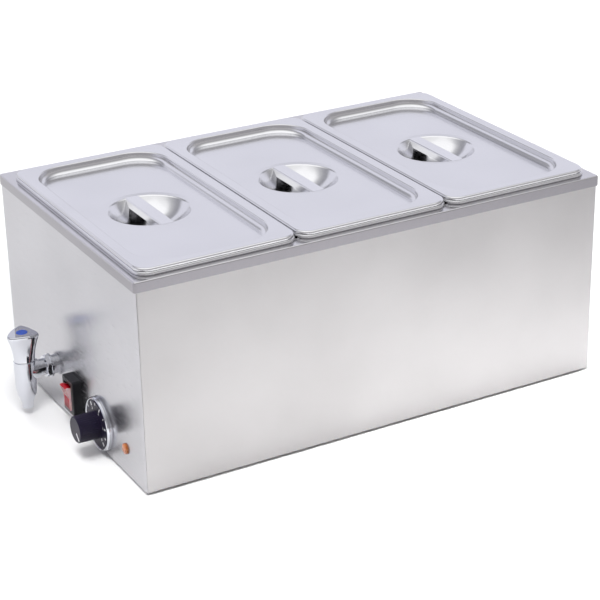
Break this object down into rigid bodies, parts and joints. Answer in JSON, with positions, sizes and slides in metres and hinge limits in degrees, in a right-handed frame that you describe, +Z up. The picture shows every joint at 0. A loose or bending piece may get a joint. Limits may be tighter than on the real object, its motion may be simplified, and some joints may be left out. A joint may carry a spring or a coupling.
{
  "type": "steam table unit",
  "caption": "Countertop wet-heat steam table with lift-out lidded food pans in a heated water tank, a drain tap, a rocker switch, a thermostat dial and a pilot light.",
  "frame": {"origin": "on the table, under the middle of the whole outline with the tap included", "axes": "+X along the long side away from the control end, +Y to the back, +Z up"},
  "size_m": [0.5942, 0.35, 0.2373],
  "materials": {
    "brushed_casing": "brushed, fine vertical grain",
    "polished_deck": "bright rolled finish",
    "satin_lid": "satin polished",
    "satin_bar": "polished",
    "satin_pan": "satin polished",
    "tank_steel": "mill finish",
    "zinc_steel": "zinc plated",
    "foot_rubber": "matte",
    "seal_rubber": "matte silicone",
    "brass": "machined",
    "ceramic": "glazed ceramic",
    "chrome": "mirror chrome",
    "blue_plastic": "gloss",
    "black_gloss": "semi gloss",
    "black_satin": "satin",
    "white_ink": "printed",
    "red_lens": "translucent gloss",
    "amber_lens": "translucent gloss",
    "white_plastic": "moulded",
    "copper": "drawn copper",
    "lead_insulation": "silicone insulation"
  },
  "bodies": {
    "casing": {"base_plate": "zinc_steel", "base_screws": "zinc_steel", "body_wrapper": "brushed_casing", "bulb_clips": "zinc_steel", "cable_inlet": "black_satin", "control_panel": "brushed_casing", "cutout_bracket": "zinc_steel", "dial_bezel": "chrome", "drain_elbow": "brass", "earth_nut": "brass", "earth_stud": "zinc_steel", "element_bushes": "brass", "element_clips": "tank_steel", "element_gaskets": "seal_rubber", "element_nuts": "brass", "element_terminals": "ceramic", "foot_nuts": "zinc_steel", "foot_screws": "zinc_steel", "heating_element": "tank_steel", "overheat_cutout": "black_satin", "pilot_body": "white_plastic", "pilot_lens": "amber_lens", "rubber_feet": "foot_rubber", "switch_housing": "black_gloss", "switch_pivot": "zinc_steel", "switch_terminals": "zinc_steel", "tap_body": "chrome", "tap_bonnet": "brass", "tap_flange_nut": "chrome", "tap_locknut": "zinc_steel", "tap_nozzle": "chrome", "tap_washer": "chrome", "terminal_block": "white_plastic", "terminal_screws": "zinc_steel", "thermostat_body": "black_satin", "thermostat_bulb": "copper", "thermostat_capillary": "copper", "thermostat_screws": "zinc_steel", "top_deck": "polished_deck", "water_tank": "tank_steel", "wiring_leads": "lead_insulation"},
    "tap_lever": {"tap_handle": "chrome", "tap_spindle": "brass", "tap_index_disc": "blue_plastic", "tap_handle_screw": "zinc_steel"},
    "rocker": {"switch_rocker": "red_lens"},
    "dial": {"dial_knob": "black_satin", "dial_markings": "white_ink", "thermostat_shaft": "zinc_steel"},
    "left_pan": {"pan_left": "satin_pan"},
    "left_lid": {"lid_left": "satin_lid", "lid_bar_left": "satin_bar"},
    "middle_pan": {"pan_middle": "satin_pan"},
    "middle_lid": {"lid_middle": "satin_lid", "lid_bar_middle": "satin_bar"},
    "right_pan": {"pan_right": "satin_pan"},
    "right_lid": {"lid_right": "satin_lid", "lid_bar_right": "satin_bar"}
  },
  "joints": [
    {"name": "tap_turn", "type": "hinge", "parent": "casing", "child": "tap_lever", "pos_m": [-0.27924, 0.0545, 0.08], "axis": [0, 0, 1], "range_deg": [0, 90]},
    {"name": "switch_rock", "type": "hinge", "parent": "casing", "child": "rocker", "pos_m": [-0.25094, -0.0045, 0.0405], "axis": [0, 1, 0], "range_deg": [0, 16]},
    {"name": "dial_turn", "type": "hinge", "parent": "casing", "child": "dial", "pos_m": [-0.26044, -0.067, 0.0335], "axis": [1, 0, 0], "range_deg": [0, 270]},
    {"name": "lift_left_pan", "type": "slide", "parent": "casing", "child": "left_pan", "axis": [0, 0, 1], "range_m": [0, 0.2]},
    {"name": "lift_left_lid", "type": "slide", "parent": "left_pan", "child": "left_lid", "axis": [0, 0, 1], "range_m": [0, 0.09]},
    {"name": "lift_middle_pan", "type": "slide", "parent": "casing", "child": "middle_pan", "axis": [0, 0, 1], "range_m": [0, 0.2]},
    {"name": "lift_middle_lid", "type": "slide", "parent": "middle_pan", "child": "middle_lid", "axis": [0, 0, 1], "range_m": [0, 0.09]},
    {"name": "lift_right_pan", "type": "slide", "parent": "casing", "child": "right_pan", "axis": [0, 0, 1], "range_m": [0, 0.2]},
    {"name": "lift_right_lid", "type": "slide", "parent": "right_pan", "child": "right_lid", "axis": [0, 0, 1], "range_m": [0, 0.09]}
  ]
}
